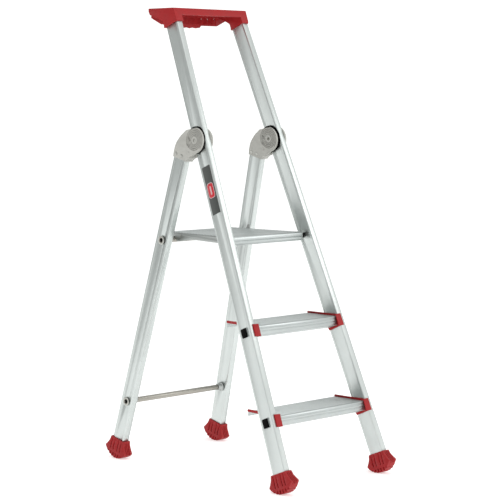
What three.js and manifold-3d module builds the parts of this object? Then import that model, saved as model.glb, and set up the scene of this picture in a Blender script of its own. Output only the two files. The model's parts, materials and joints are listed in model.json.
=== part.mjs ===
// Aluminium stepladder with two treads, a folding platform and a red tool tray on top.
// Millimetres, +Z up, user climbs from -Y; the origin is the centre of the footprint.
import * as THREE from 'three';
import { mergeVertices } from 'three/addons/utils/BufferGeometryUtils.js';
import Module from 'manifold-3d';

const wasm = await Module();
wasm.setup();

const CLEARANCE = 0.3;

// Front frame: two stiles that lean back and draw together upwards.
const FRONT_LEAN = THREE.MathUtils.degToRad(22.2165);
const STILE_SPLAY = Math.atan(0.0508);
const STILE_X = 201.3;
const STILE_WIDTH = 20.7;
const STILE_DEPTH = 49.2;
const STILE_TOP = 1412;

// Rear frame: two legs that lean forward up to the hinge.
const REAR_LEAN = THREE.MathUtils.degToRad(15.043);
const LEG_SPLAY = Math.atan(0.0546);
const LEG_X = STILE_X + 1.3;
const LEG_WIDTH = 21.1;
const LEG_DEPTH = 48.5;
const LEG_TOP = 958;
const REAR_FOOT_Y = 711.9;

// Hollow rectangular section shared by stiles and legs.
const WALL = 1.8;
const CORNER = 2.4;
const PANEL_HALF = 17.5;
const PANEL_RECESS = 0.5;
const LEG_START = 30.5;

// Main hinge, measured along (s) and across (v) the front stile.
const PIVOT_S = 1032.5;
const PIVOT_V = 11.4;
const PIN_RADIUS = 5;
const PIN_BORE = 2.6;
const PIN_RECESS = 2.2;
const CHEEK_RADIUS = 37;
const SHOE_WALL = 2.9;
const WASHER_RADIUS = 39.5;
const WASHER_THICKNESS = 2.2;
const CHEEK_GAP = 2.85;
const CHEEK_WALL = 4.6;
const CHEEK_BACK = STILE_WIDTH / 2 + WASHER_THICKNESS + CHEEK_GAP;
const CHEEK_FACE = CHEEK_BACK + CHEEK_WALL;
const SWING_GAP = 1.5;
const FOLD = THREE.MathUtils.degToRad(36);
const RIVET_RADIUS = 3;
const RIVET_HEAD = 2;
const RIVET_SEAT = CHEEK_FACE - 5.8;
const cheekRivets = [[-12, 943], [12, 943]];

// Treads: front edge and top of the lower one, and the rise to the next.
const TREAD_FRONT = 55.5;
const TREAD_TOP = 205;
const TREAD_RISE = 238;
const TREAD_NAMES = ['lower', 'upper'];
const TREAD_DEPTH = 120;
const TREAD_HEIGHT = 27;
const TENON_BACK = 22;
const TENON_DOWN = 19.5;
const TENON_S = 27;
const TENON_V = 24;
const TENON_WALL = 1.5;
const TENON_PROUD = 0.9;
const PLUG_THICKNESS = 4;
const PLUG_LIP = 1.1;
const PLUG_RIM = 0.6;
const END_CAP_THICKNESS = 3;

// Platform, hinged near its front and resting on the upper cross tube.
const PLATFORM_TOP = 682;
const PLATFORM_FRONT = 271;
const PLATFORM_REAR = 562;
const PLATFORM_HINGE_Y = 285;
const PLATFORM_HINGE_Z = 669;
const PLATFORM_HALF_FRONT = STILE_X - 58.3;
const PLATFORM_HALF_REAR = PLATFORM_HALF_FRONT - 15;
const BRACKET = 3;
const HINGE_PIN = 4;
const SPACER_RADIUS = 7.5;
const LUG_Y = 488;
const NOSING_DEPTH = 30;
const RIVET_Z = PLATFORM_TOP - 10;
const deckRivets = [PLATFORM_FRONT + NOSING_DEPTH + 14, PLATFORM_REAR - 60];

// Cross tubes of the rear frame, as distances along the leg.
const TUBE_RADIUS = 8;
const TUBE_WALL = 1.5;
const TUBES = { upper: 684, lower: 181 };
const RING_RADIUS = 13;
const RING_THICKNESS = 1.6;

// Feet.
const FOOT_RIM = 61;
const FOOT_RADIUS = 53;
const FOOT_FACET = THREE.MathUtils.degToRad(6);
const FOOT_HALF_WIDTH = STILE_WIDTH / 2 + 5.25;
const FOOT_REACH = 43.5;
const FOOT_GROOVE = 3;
const FOOT_INSET = 0.94;
const FOOT_BAND = 20;
const FOOT_RIBS = [-20.3, -8.7, 8.7, 20.3];
const FOOT_RIB_GAP = 3.2;
const FOOT_CLEATS = [-27.5, -16.5, -5.5, 5.5, 16.5, 27.5];
const FOOT_CLEAT_GAP = 4.4;

// Top tray, placed from the top ends of the stiles.
const TRAY_HEIGHT = 19.5;
const TRAY_DEPTH = 115;
const TRAY_WALL = 3.08;
const TRAY_TOP = STILE_TOP * Math.cos(FRONT_LEAN) + 23.32;
const TRAY_BOTTOM = TRAY_TOP - TRAY_HEIGHT;
const TRAY_FRONT = STILE_TOP * Math.sin(FRONT_LEAN) - 35.89;
const TRAY_REAR = TRAY_FRONT + TRAY_DEPTH;
const TRAY_HALF_FRONT = STILE_X - STILE_TOP * Math.tan(STILE_SPLAY) + STILE_WIDTH / 2 + TRAY_WALL;
const TRAY_HALF_REAR = TRAY_HALF_FRONT + 10;
const TRAY_CORNER = 4;
const TRAY_RECESS = 10;
const SOCKET_BOTTOM = STILE_TOP - 26;
const WELL_FRONT = 22;
const WELL_HALF = TRAY_HALF_FRONT - 39;
const LUG_X = 86.5;

const anodised = new THREE.MeshStandardMaterial({ color: 0xced2cf, roughness: 0.34, metalness: 0.9 });
const millAluminium = new THREE.MeshStandardMaterial({ color: 0xc2c6c4, roughness: 0.4, metalness: 0.9 });
const redPlastic = new THREE.MeshStandardMaterial({ color: 0xba3c3c, roughness: 0.5, metalness: 0 });
const greyPlastic = new THREE.MeshStandardMaterial({ color: 0xa8a6a1, roughness: 0.55, metalness: 0 });
const blackPlastic = new THREE.MeshStandardMaterial({ color: 0x141414, roughness: 0.5, metalness: 0 });
const zincSteel = new THREE.MeshStandardMaterial({ color: 0xb4b4b0, roughness: 0.3, metalness: 1 });
const darkFoil = new THREE.MeshStandardMaterial({ color: 0x2c2e2d, roughness: 0.4, metalness: 0 });
const redFoil = new THREE.MeshStandardMaterial({ color: 0xc8232c, roughness: 0.35, metalness: 0 });

// Solids from geometries and back.
function solid(geometry) {
  const bare = geometry.clone();
  bare.deleteAttribute('normal');
  bare.deleteAttribute('uv');
  const welded = mergeVertices(bare, 1e-4);
  const mesh = new wasm.Mesh({
    numProp: 3,
    vertProperties: new Float32Array(welded.attributes.position.array),
    triVerts: new Uint32Array(welded.index.array),
  });
  return new wasm.Manifold(mesh);
}

function geometryOf(body) {
  const mesh = body.getMesh();
  const geometry = new THREE.BufferGeometry();
  geometry.setAttribute('position', new THREE.BufferAttribute(new Float32Array(mesh.vertProperties), 3));
  geometry.setIndex(new THREE.BufferAttribute(new Uint32Array(mesh.triVerts), 1));
  geometry.computeVertexNormals();
  return geometry;
}

function cut(geometry, tools) {
  return geometryOf(tools.reduce((body, tool) => body.subtract(solid(tool)), solid(geometry)));
}

function join(geometries) {
  return geometryOf(geometries.map(solid).reduce((body, next) => body.add(next)));
}

function common(first, second) {
  return geometryOf(solid(first).intersect(solid(second)));
}

// Basic forms.
function box(x0, x1, y0, y1, z0, z1) {
  const form = new THREE.BoxGeometry(x1 - x0, y1 - y0, z1 - z0);
  return form.translate((x0 + x1) / 2, (y0 + y1) / 2, (z0 + z1) / 2);
}

function rod(radius, x0, x1, y, z, sides = 16) {
  const form = new THREE.CylinderGeometry(radius, radius, x1 - x0, sides);
  return form.rotateZ(Math.PI / 2).translate((x0 + x1) / 2, y, z);
}

function outline(points) {
  return new THREE.Shape(points.map(([a, b]) => new THREE.Vector2(a, b)));
}

// A flat shape drawn in (y, z) and given its thickness along x.
function plate(points, x0, x1) {
  const form = new THREE.ExtrudeGeometry(outline(points), { depth: x1 - x0, bevelEnabled: false });
  const turn = new THREE.Matrix4().makeBasis(
    new THREE.Vector3(0, 1, 0),
    new THREE.Vector3(0, 0, 1),
    new THREE.Vector3(1, 0, 0),
  );
  return form.applyMatrix4(turn).translate(x0, 0, 0);
}

// A flat shape drawn in (x, y) and raised along z.
function prism(shape, z0, z1) {
  const form = new THREE.ExtrudeGeometry(shape, { depth: z1 - z0, bevelEnabled: false, curveSegments: 5 });
  return form.translate(0, 0, z0);
}

function roundedPoints(halfX, halfY, radius, steps) {
  const points = [];
  const centres = [[1, 1], [-1, 1], [-1, -1], [1, -1]];
  centres.forEach(([signX, signY], quarter) => {
    for (let step = 0; step <= steps; step += 1) {
      const angle = (quarter + step / steps) * Math.PI / 2;
      points.push([
        signX * (halfX - radius) + radius * Math.cos(angle),
        signY * (halfY - radius) + radius * Math.sin(angle),
      ]);
    }
  });
  return points;
}

function arcPoints(y, z, radius, from, to, steps) {
  const points = [];
  for (let step = 0; step <= steps; step += 1) {
    const angle = from + (to - from) * step / steps;
    points.push([y + radius * Math.cos(angle), z + radius * Math.sin(angle)]);
  }
  return points;
}

function mirrored(geometry) {
  const copy = geometry.clone().scale(-1, 1, 1);
  if (!copy.index) {
    return mirrored(mergeVertices(geometry));
  }
  const index = copy.index.array;
  for (let corner = 0; corner < index.length; corner += 3) {
    const first = index[corner];
    index[corner] = index[corner + 1];
    index[corner + 1] = first;
  }
  return copy;
}

function addMesh(parent, name, geometry, material) {
  const mesh = new THREE.Mesh(geometry, material);
  mesh.name = name;
  parent.add(mesh);
  return mesh;
}

// Every paired piece is drawn for the right side and mirrored for the left.
function addPair(parent, name, geometry, material) {
  addMesh(parent, `right_${name}`, geometry, material);
  addMesh(parent, `left_${name}`, mirrored(geometry), material);
}

const ladder = new THREE.Group();
const upright = new THREE.Group();
const frontFrame = new THREE.Group();
const rearFrame = new THREE.Group();
frontFrame.rotation.x = -FRONT_LEAN;
rearFrame.rotation.x = REAR_LEAN;
rearFrame.position.y = REAR_FOOT_Y;
upright.add(frontFrame, rearFrame);
ladder.add(upright);

// Place on the leaning frames of a point given in upright (y, z).
function onFront(y, z) {
  return {
    v: y * Math.cos(FRONT_LEAN) - z * Math.sin(FRONT_LEAN),
    s: y * Math.sin(FRONT_LEAN) + z * Math.cos(FRONT_LEAN),
  };
}

function upFromFront(v, s) {
  return {
    y: v * Math.cos(FRONT_LEAN) + s * Math.sin(FRONT_LEAN),
    z: s * Math.cos(FRONT_LEAN) - v * Math.sin(FRONT_LEAN),
  };
}

function onRear(y, z) {
  return {
    v: (y - REAR_FOOT_Y) * Math.cos(REAR_LEAN) + z * Math.sin(REAR_LEAN),
    s: (REAR_FOOT_Y - y) * Math.sin(REAR_LEAN) + z * Math.cos(REAR_LEAN),
  };
}

function stileX(s) {
  return STILE_X - s * Math.tan(STILE_SPLAY);
}

function legX(s) {
  return LEG_X - s * Math.tan(LEG_SPLAY);
}

// Tips a form drawn round the stile's or the leg's own axis into the splay.
function alongStile(geometry) {
  return geometry.rotateY(-STILE_SPLAY).translate(STILE_X, 0, 0);
}

function alongLeg(geometry) {
  return geometry.rotateY(-LEG_SPLAY).translate(LEG_X, 0, 0);
}

// Hollow section: side faces have a shallow panel between two edge bands.
function section(width, depth) {
  const halfX = width / 2;
  const halfY = depth / 2;
  const corners = roundedPoints(halfX, halfY, CORNER, 2);
  const panel = (sign) => [
    [sign * halfX, -sign * PANEL_HALF],
    [sign * (halfX - PANEL_RECESS), -sign * (PANEL_HALF - PANEL_RECESS)],
    [sign * (halfX - PANEL_RECESS), sign * (PANEL_HALF - PANEL_RECESS)],
    [sign * halfX, sign * PANEL_HALF],
  ];
  const shape = outline([...panel(1), ...corners.slice(0, 6), ...panel(-1), ...corners.slice(6)]);
  const inside = outline(roundedPoints(halfX - PANEL_RECESS - WALL, halfY - WALL, 1, 1));
  shape.holes.push(inside);
  return shape;
}

const splayedLength = (distance, splay) => distance / Math.cos(splay);

// Where each tread's tenon passes through the stiles.
const tenons = TREAD_NAMES.map((name, step) => {
  const y = TREAD_FRONT + step * TREAD_RISE * Math.tan(FRONT_LEAN) + TENON_BACK;
  const z = TREAD_TOP + step * TREAD_RISE - TENON_DOWN;
  return { name, y, z, ...onFront(y, z) };
});

const platformHinge = onFront(PLATFORM_HINGE_Y, PLATFORM_HINGE_Z);
const pivotUp = upFromFront(PIVOT_V, PIVOT_S);
const pivotRear = onRear(pivotUp.y, pivotUp.z);

// Front stiles.
function frontStile() {
  const end = splayedLength(STILE_TOP, STILE_SPLAY);
  const bar = alongStile(prism(section(STILE_WIDTH, STILE_DEPTH), LEG_START, end));
  const reach = STILE_WIDTH;
  const tools = tenons.map(({ v, s }) => {
    const x = stileX(s);
    const halfV = TENON_V / 2 + CLEARANCE;
    const halfS = TENON_S / 2 + CLEARANCE;
    return box(x - reach, x + reach, v - halfV, v + halfV, s - halfS, s + halfS);
  });
  const pivotX = stileX(PIVOT_S);
  const hingeX = stileX(platformHinge.s);
  tools.push(rod(PIN_RADIUS + CLEARANCE, pivotX - reach, pivotX + reach, PIVOT_V, PIVOT_S));
  tools.push(rod(HINGE_PIN + CLEARANCE, hingeX - reach, hingeX, platformHinge.v, platformHinge.s, 12));
  return cut(bar, tools);
}
addPair(frontFrame, 'front_stile', frontStile(), anodised);

// Feet: a rocker sole with a small flat at its lowest line and cut tread notches.
function footSole(downAngle) {
  const centre = FOOT_RADIUS * Math.cos(FOOT_FACET) / Math.cos(downAngle);
  const limit = Math.asin(FOOT_REACH / FOOT_RADIUS);
  const notch = THREE.MathUtils.degToRad(1.3);
  const notchDepth = 1.8;
  const points = [];
  for (let turn = -9; turn <= 9; turn += 2) {
    const angle = downAngle + turn * FOOT_FACET;
    if (Math.abs(angle) < limit - notch) {
      const steps = [[-notch, 0], [0, notchDepth], [notch, 0]];
      steps.forEach(([offset, depth]) => {
        const radius = FOOT_RADIUS - depth;
        points.push([radius * Math.sin(angle + offset), centre - radius * Math.cos(angle + offset)]);
      });
    }
  }
  const low = centre - Math.sqrt(FOOT_RADIUS ** 2 - FOOT_REACH ** 2);
  const rise = [
    [FOOT_REACH, low], [FOOT_REACH, low + 4], [37.5, low + 11], [32, low + 21],
    [29.6, low + 30], [28, FOOT_RIM],
  ];
  const fall = rise.map(([v, s]) => [-v, s]).reverse();
  return [...points, ...rise, ...fall];
}

function foot(centreX, splay, width, depth, downAngle) {
  const middle = centreX - (FOOT_RIM + LEG_START) / 2 * Math.tan(splay);
  const sole = footSole(downAngle);
  const sides = plate(sole, -FOOT_HALF_WIDTH, FOOT_HALF_WIDTH).translate(middle, 0, 0);
  const face = [
    [-FOOT_HALF_WIDTH + 2.2, FOOT_RIM + 1], [-FOOT_HALF_WIDTH + 2, 50],
    [-FOOT_HALF_WIDTH, 38], [-FOOT_HALF_WIDTH, -5],
    [FOOT_HALF_WIDTH, -5], [FOOT_HALF_WIDTH, 38],
    [FOOT_HALF_WIDTH - 2, 50], [FOOT_HALF_WIDTH - 2.2, FOOT_RIM + 1],
  ];
  const front = new THREE.ExtrudeGeometry(outline(face), { depth: 4 * FOOT_REACH, bevelEnabled: false })
    .rotateX(Math.PI / 2)
    .translate(middle, 2 * FOOT_REACH, 0);
  const body = common(sides, front);
  const halfU = width / 2 + CLEARANCE;
  const halfV = depth / 2 + CLEARANCE;
  const pocket = box(-halfU, halfU, -halfV, halfV, LEG_START - CLEARANCE, 2 * FOOT_RIM)
    .rotateY(-splay)
    .translate(centreX, 0, 0);
  const inset = sole.map(([v, s]) => [v * FOOT_INSET, s]);
  const tools = [pocket];
  [-1, 1].forEach((side) => {
    const outer = middle + side * FOOT_HALF_WIDTH;
    const x0 = outer - FOOT_GROOVE;
    const x1 = outer + FOOT_GROOVE;
    FOOT_RIBS.forEach((v) => tools.push(
      box(x0, x1, v - FOOT_RIB_GAP / 2, v + FOOT_RIB_GAP / 2, FOOT_BAND + 4, FOOT_RIM - 3),
    ));
    FOOT_CLEATS.forEach((v) => tools.push(
      box(x0, x1, v - FOOT_CLEAT_GAP / 2, v + FOOT_CLEAT_GAP / 2, 0, FOOT_BAND - 4),
    ));
  });
  const belt = box(-8, 8, -2 * FOOT_REACH, 2 * FOOT_REACH, FOOT_BAND + 2, FOOT_RIM - 4);
  const skin = cut(belt, [plate(inset, -9, 9)]);
  [-6, 0, 6].forEach((u) => {
    const slab = box(middle + u - 1.2, middle + u + 1.2, -2 * FOOT_REACH, 2 * FOOT_REACH, 0, FOOT_RIM);
    tools.push(common(skin.clone().translate(middle, 0, 0), slab));
  });
  return cut(body, tools);
}
const frontFoot = foot(STILE_X, STILE_SPLAY, STILE_WIDTH, STILE_DEPTH, FRONT_LEAN);
addPair(frontFrame, 'front_foot', frontFoot, redPlastic);
const rearFoot = foot(LEG_X, LEG_SPLAY, LEG_WIDTH, LEG_DEPTH, -REAR_LEAN);
addPair(rearFrame, 'rear_foot', rearFoot, redPlastic);

// Treads: a ribbed hollow board whose box girder runs on as a tenon through each stile.
function treadProfile() {
  const points = [];
  const bottom = -TREAD_HEIGHT;
  const grooves = [-16, -8.5];
  points.push([1.5, bottom], [0, bottom + 1.5]);
  grooves.forEach((z) => points.push([0, z - 1.4], [1.3, z - 0.7], [1.3, z + 0.7], [0, z + 1.4]));
  points.push([0.4, -4.6], [2.2, -1.6], [5, 0]);
  const pitch = 9;
  for (let y = 10; y < TREAD_DEPTH - 10; y += pitch) {
    points.push([y, 0], [y + 0.8, -1.3], [y + 3, -1.3], [y + 3.8, 0]);
  }
  points.push([TREAD_DEPTH - 5, 0], [TREAD_DEPTH - 1.5, -1.5], [TREAD_DEPTH, -5]);
  points.push([TREAD_DEPTH, -14], [TREAD_DEPTH - 3, -14], [TREAD_DEPTH - 3, -6], [TREAD_DEPTH - 6, -4.2]);
  points.push([44, -4.2], [44, -14], [38, bottom]);
  return points;
}

function tread({ y, z, v, s }) {
  const capX = stileX(s + TREAD_HEIGHT) - STILE_WIDTH / 2 - END_CAP_THICKNESS - 3 * CLEARANCE;
  const board = plate(treadProfile(), -capX, capX)
    .translate(0, y - TENON_BACK, z + TENON_DOWN)
    .rotateX(FRONT_LEAN);
  const hollow = [[3, 3 - TREAD_HEIGHT], [3, -5], [41, -5], [41, -12], [36, 3 - TREAD_HEIGHT]];
  const chamber = plate(hollow, -2 * capX, 2 * capX)
    .translate(0, y - TENON_BACK, z + TENON_DOWN)
    .rotateX(FRONT_LEAN);
  const end = stileX(s) + STILE_WIDTH / 2 + TENON_PROUD;
  const girder = box(-end, end, v - TENON_V / 2, v + TENON_V / 2, s - TENON_S / 2, s + TENON_S / 2);
  const halfV = TENON_V / 2 - TENON_WALL;
  const halfS = TENON_S / 2 - TENON_WALL;
  const bore = box(-2 * end, 2 * end, v - halfV, v + halfV, s - halfS, s + halfS);
  const shell = cut(board, [chamber]);
  return cut(join([shell, girder]), [bore]);
}
tenons.forEach((tenon) => addMesh(frontFrame, `${tenon.name}_tread`, tread(tenon), anodised));

// Black plugs that close the tenons, each with a lip over the stub's rim.
function treadPlug({ v, s }) {
  const end = stileX(s) + STILE_WIDTH / 2 + TENON_PROUD;
  const halfV = TENON_V / 2 - TENON_WALL - CLEARANCE;
  const halfS = TENON_S / 2 - TENON_WALL - CLEARANCE;
  const stem = box(end - PLUG_THICKNESS, end + 1, v - halfV, v + halfV, s - halfS, s + halfS);
  const lip = roundedPoints(TENON_V / 2 - PLUG_RIM, TENON_S / 2 - PLUG_RIM, 3, 2);
  const face = lip.map(([a, b]) => [a + v, b + s]);
  return join([stem, plate(face, end + CLEARANCE, end + CLEARANCE + PLUG_LIP)]);
}
tenons.forEach((tenon) => addPair(frontFrame, `${tenon.name}_tread_plug`, treadPlug(tenon), blackPlastic));

// Red end caps: a plate on the stile's inner face, a wing round its front and a fin behind.
function treadEndCap({ y, z, v, s }) {
  const inner = stileX(s) - STILE_WIDTH / 2 - CLEARANCE;
  const front = -STILE_DEPTH / 2 - CLEARANCE;
  const low = s - 19;
  const high = s + 16;
  const body = [
    [front - END_CAP_THICKNESS, low], [22, low - 1], [STILE_DEPTH / 2, low + 9],
    [STILE_DEPTH / 2 - 3, high], [front - END_CAP_THICKNESS, high],
  ];
  const cheek = plate(body, -END_CAP_THICKNESS, 0);
  const wing = box(-10.5, STILE_WIDTH / 2, front - END_CAP_THICKNESS, front, low, high);
  const finTop = z + TENON_DOWN + 5;
  const finFront = y - TENON_BACK + 2;
  const finRear = y - TENON_BACK + TREAD_DEPTH - 1;
  const finHook = finFront + 62;
  const fin = plate([
    [finFront, finTop], [finFront, finTop - 12], [finHook, finTop - 14], [finHook + 5, finTop - 13],
    [finHook + 9, finTop - 7.5], [finRear - 1, finTop - 7],
    [finRear + 1.5, finTop - 4], [finRear - 1, finTop],
  ], -END_CAP_THICKNESS, 0).rotateX(FRONT_LEAN);
  const tip = (form) => form.translate(0, 0, -s).rotateY(-STILE_SPLAY).translate(inner, 0, s);
  const board = plate([
    [-1, 1], [-1, -TREAD_HEIGHT - 1], [TREAD_DEPTH + 1, -TREAD_HEIGHT - 1], [TREAD_DEPTH + 1, 1],
  ], 0, stileX(s + TREAD_HEIGHT) - STILE_WIDTH / 2 - END_CAP_THICKNESS - 2 * CLEARANCE)
    .translate(0, y - TENON_BACK, z + TENON_DOWN)
    .rotateX(FRONT_LEAN);
  const halfV = TENON_V / 2 + CLEARANCE;
  const halfS = TENON_S / 2 + CLEARANCE;
  const girder = box(0, 2 * STILE_X, v - halfV, v + halfV, s - halfS, s + halfS);
  return cut(join([tip(cheek), tip(wing), tip(fin)]), [board, girder]);
}
tenons.forEach((tenon) => addPair(frontFrame, `${tenon.name}_tread_end_cap`, treadEndCap(tenon), redPlastic));

// Label on the left stile, and the plain raised badge on it.
function labelPlate(halfV, s0, s1, gap, thickness, corner) {
  const points = roundedPoints(halfV, (s1 - s0) / 2, corner, 2).map(([v, s]) => [v, s + (s0 + s1) / 2]);
  const face = STILE_WIDTH / 2 - PANEL_RECESS + gap;
  return alongStile(plate(points, face, face + thickness));
}
const label = labelPlate(16.4, 808, 950, 0.1, 0.5, 1);
addMesh(frontFrame, 'stile_label', mirrored(label), darkFoil);
const badge = labelPlate(12, 856, 898, 0.7, 0.6, 7);
addMesh(frontFrame, 'stile_badge', mirrored(badge), redFoil);

// Main hinge pieces that stay with the front frame: friction washers and pivot pins.
function pivotPlace(geometry) {
  return geometry.rotateY(-STILE_SPLAY).translate(stileX(PIVOT_S), 0, PIVOT_S);
}

function washer(side) {
  const inner = STILE_WIDTH / 2 + CLEARANCE;
  const outer = inner + WASHER_THICKNESS;
  const x0 = side > 0 ? inner : -outer;
  const disc = pivotPlace(rod(WASHER_RADIUS, x0, x0 + WASHER_THICKNESS, PIVOT_V, 0, 28));
  return cut(disc, [rod(PIN_RADIUS + CLEARANCE, 0, 2 * STILE_X, PIVOT_V, PIVOT_S)]);
}
addMesh(frontFrame, 'right_hinge_washer_outer', washer(1), greyPlastic);
addMesh(frontFrame, 'left_hinge_washer_outer', mirrored(washer(1)), blackPlastic);
addMesh(frontFrame, 'right_hinge_washer_inner', washer(-1), blackPlastic);
addMesh(frontFrame, 'left_hinge_washer_inner', mirrored(washer(-1)), greyPlastic);

function pivotPin() {
  const x = stileX(PIVOT_S);
  const half = CHEEK_FACE - PIN_RECESS;
  const shank = rod(PIN_RADIUS, x - half, x + half, PIVOT_V, PIVOT_S);
  return cut(shank, [rod(PIN_BORE, x - half - 1, x - half + 8, PIVOT_V, PIVOT_S, 16)]);
}
addPair(frontFrame, 'pivot_pin', pivotPin(), zincSteel);

// Rear legs.
function rearLeg() {
  const end = splayedLength(LEG_TOP, LEG_SPLAY);
  const reach = LEG_WIDTH;
  const rivetHoles = cheekRivets.map(([v, s]) => rod(RIVET_RADIUS + CLEARANCE, -reach, reach, v, s, 8));
  const bar = alongLeg(cut(prism(section(LEG_WIDTH, LEG_DEPTH), LEG_START, end), rivetHoles));
  const tools = Object.values(TUBES).map((s) => {
    const x = legX(s);
    return rod(TUBE_RADIUS + CLEARANCE, x - reach, x + reach, 0, s);
  });
  return cut(bar, tools);
}

addPair(rearFrame, 'rear_leg', rearLeg(), anodised);

// Hinge heads: two cast cheeks per side, riveted through the top of the leg.
function cheekOutline() {
  const { v, s } = pivotRear;
  const disc = arcPoints(v, s, CHEEK_RADIUS, THREE.MathUtils.degToRad(84), THREE.MathUtils.degToRad(242), 18);
  return [
    [24.2, 931], [23.4, 946], [20.6, 962], [15, 979], [5, 998], [-12, 1019],
    ...disc,
    [-60, 956.5], [-48, 950.5], [-38, 943], [-32, 935], [-30.5, 931],
  ];
}

// The stile and its washers sweep this room inside the head.
function swingRoom() {
  const { v, s } = pivotRear;
  const reach = CHEEK_BACK;
  const round = rod(WASHER_RADIUS + SWING_GAP, -reach, reach, v, s, 28);
  const rearFace = STILE_DEPTH / 2 - PIVOT_V + SWING_GAP;
  const far = 200;
  const past = 10;
  const above = box(-reach, reach, -far, rearFace, -past, far)
    .rotateX(-FRONT_LEAN - REAR_LEAN)
    .translate(0, v, s);
  const below = box(-reach, reach, -far, rearFace, -far, past)
    .rotateX(FOLD - FRONT_LEAN - REAR_LEAN)
    .translate(0, v, s);
  return [round, above, below];
}

function taper(side) {
  const far = 60;
  const x0 = LEG_WIDTH / 2 + CLEARANCE + SHOE_WALL;
  const wedge = outline([
    [x0, 900], [far, 900], [far, 985], [CHEEK_FACE + 0.1, 972], [x0 + 0.8, 936], [x0, 930],
  ]);
  const form = new THREE.ExtrudeGeometry(wedge, { depth: far * 2, bevelEnabled: false })
    .rotateX(Math.PI / 2);
  const placed = form.translate(0, far, 0);
  return side > 0 ? placed : mirrored(placed);
}

function cheek(side, withWeb) {
  const { v, s } = pivotRear;
  const start = withWeb ? -LEG_WIDTH / 2 : LEG_WIDTH / 2 + CLEARANCE;
  const x0 = side > 0 ? start : -CHEEK_FACE;
  const x1 = side > 0 ? CHEEK_FACE : -start;
  const body = plate(cheekOutline(), x0, x1);
  const halfU = LEG_WIDTH / 2 + CLEARANCE;
  const halfV = LEG_DEPTH / 2 + CLEARANCE;
  const legRoom = box(-halfU, halfU, -halfV, 2 * halfV, 900, LEG_TOP + 2);
  const bore = rod(PIN_RADIUS + CLEARANCE, 0, 2 * STILE_X, v, s);
  const tools = [legRoom, taper(side), ...swingRoom()];
  cheekRivets.forEach(([rivetV, rivetS]) => {
    tools.push(rod(RIVET_RADIUS + CLEARANCE, -2 * CHEEK_FACE, 2 * CHEEK_FACE, rivetV, rivetS, 8));
    const seat = side > 0 ? [RIVET_SEAT, 2 * CHEEK_FACE] : [-2 * CHEEK_FACE, -RIVET_SEAT];
    tools.push(rod(RIVET_RADIUS + RIVET_HEAD + CLEARANCE, ...seat, rivetV, rivetS, 12));
  });
  return cut(alongLeg(cut(body, tools)), [bore]);
}
addPair(rearFrame, 'hinge_cheek_outer', cheek(1, true), greyPlastic);
addPair(rearFrame, 'hinge_cheek_inner', cheek(-1, false), greyPlastic);

function cheekRivet([v, s]) {
  const inner = RIVET_SEAT + CLEARANCE;
  const outer = inner + 1.5;
  const shank = rod(RIVET_RADIUS, -inner, inner, v, s, 8);
  const ends = [[inner, outer], [-outer, -inner]];
  const heads = ends.map(([x0, x1]) => rod(RIVET_RADIUS + RIVET_HEAD, x0, x1, v, s, 12));
  return alongLeg(join([shank, ...heads]));
}
cheekRivets.forEach((place, row) => {
  addPair(rearFrame, `hinge_rivet_${row + 1}`, cheekRivet(place), zincSteel);
});

// Cross tubes, with a turned-over ring on each outer face.
function crossTube(s) {
  const half = legX(s) + LEG_WIDTH / 2 + RING_THICKNESS;
  const bar = rod(TUBE_RADIUS, -half, half, 0, s);
  return cut(bar, [rod(TUBE_RADIUS - TUBE_WALL, -2 * half, 2 * half, 0, s)]);
}

function tubeRing(s) {
  const x = legX(s) + LEG_WIDTH / 2 + CLEARANCE * 2;
  const ring = rod(RING_RADIUS, x, x + RING_THICKNESS, 0, s, 20);
  return cut(ring, [rod(TUBE_RADIUS + CLEARANCE, x - 1, x + RING_THICKNESS + 1, 0, s)]);
}

// Black plug just inside each end of a cross tube.
function tubePlug(s) {
  const x = legX(s) + LEG_WIDTH / 2;
  return rod(TUBE_RADIUS - TUBE_WALL - CLEARANCE, x - 8, x + 0.5, 0, s);
}

// Pressed collar that the lower tube seats against on the leg's inner face.
function tubeCollar(s) {
  const x = legX(s) - LEG_WIDTH / 2 - CLEARANCE * 4;
  const profile = [
    [TUBE_RADIUS + CLEARANCE, 0], [14, 0], [14, 2], [10.5, 5], [TUBE_RADIUS + CLEARANCE + 1, 16],
    [TUBE_RADIUS + CLEARANCE, 16], [TUBE_RADIUS + CLEARANCE, 0],
  ];
  const form = new THREE.LatheGeometry(profile.map(([r, h]) => new THREE.Vector2(r, h)), 16);
  return form.rotateZ(Math.PI / 2).translate(x, 0, s);
}
Object.entries(TUBES).forEach(([name, s]) => {
  addMesh(rearFrame, `${name}_cross_tube`, crossTube(s), anodised);
  addPair(rearFrame, `${name}_tube_ring`, tubeRing(s), zincSteel);
  addPair(rearFrame, `${name}_tube_plug`, tubePlug(s), blackPlastic);
});
addPair(rearFrame, 'lower_tube_collar', tubeCollar(TUBES.lower), millAluminium);

// Platform: ribbed deck, front nosing, two hook brackets, rivets.
const tubeUp = {
  y: REAR_FOOT_Y - TUBES.upper * Math.sin(REAR_LEAN),
  z: TUBES.upper * Math.cos(REAR_LEAN),
};
const sideSlope = Math.atan((PLATFORM_HALF_FRONT - PLATFORM_HALF_REAR) / (PLATFORM_REAR - PLATFORM_FRONT));

function platformHalf(y) {
  return PLATFORM_HALF_FRONT - (y - PLATFORM_FRONT) * Math.tan(sideSlope);
}

function platformPlan(y0, y1) {
  const inset = BRACKET + CLEARANCE * 1.5;
  const front = platformHalf(y0) - inset;
  const rear = platformHalf(y1) - inset;
  const plan = outline([[-front, y0], [front, y0], [rear, y1], [-rear, y1]]);
  return prism(plan, PLATFORM_TOP - 60, PLATFORM_TOP + 20);
}

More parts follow.
